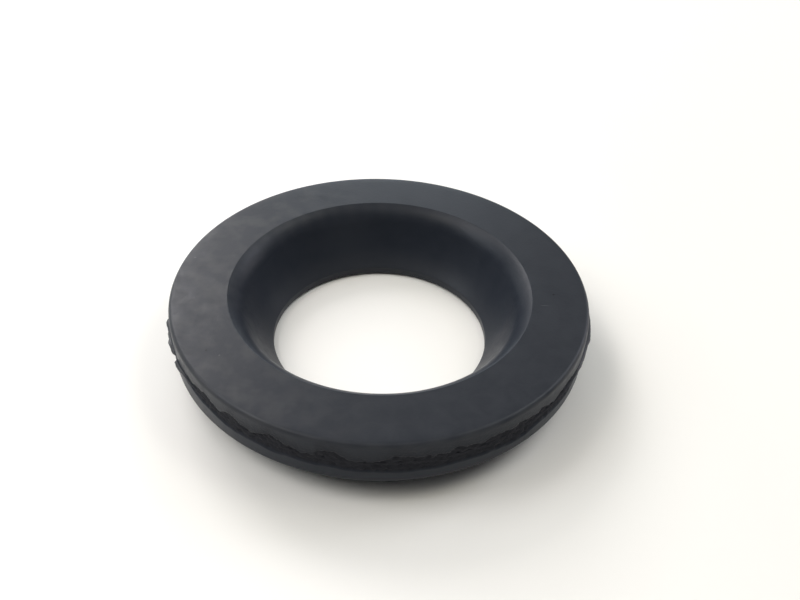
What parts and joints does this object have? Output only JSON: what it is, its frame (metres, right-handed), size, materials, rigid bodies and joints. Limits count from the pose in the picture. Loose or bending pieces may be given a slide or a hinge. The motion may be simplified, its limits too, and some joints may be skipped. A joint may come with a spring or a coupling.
{
  "type": "rubber seal",
  "caption": "Round flanged rubber seal: a wide flat flange round a bowl that narrows to a thin lip, which grips and seals a pipe pushed through it.",
  "frame": {"origin": "on the seal's axis, on the surface that the foot stands on", "axes": "+Z along the axis from the foot to the flange's flat face; -Y towards the picture's camera"},
  "size_m": [0.0621, 0.0611, 0.0106],
  "materials": {
    "black_rubber": "moulded black rubber with a soft sheen and a faint grey bloom; torn flash is matt"
  },
  "bodies": {
    "root": {"seal_ring": "black_rubber"}
  },
  "joints": []
}
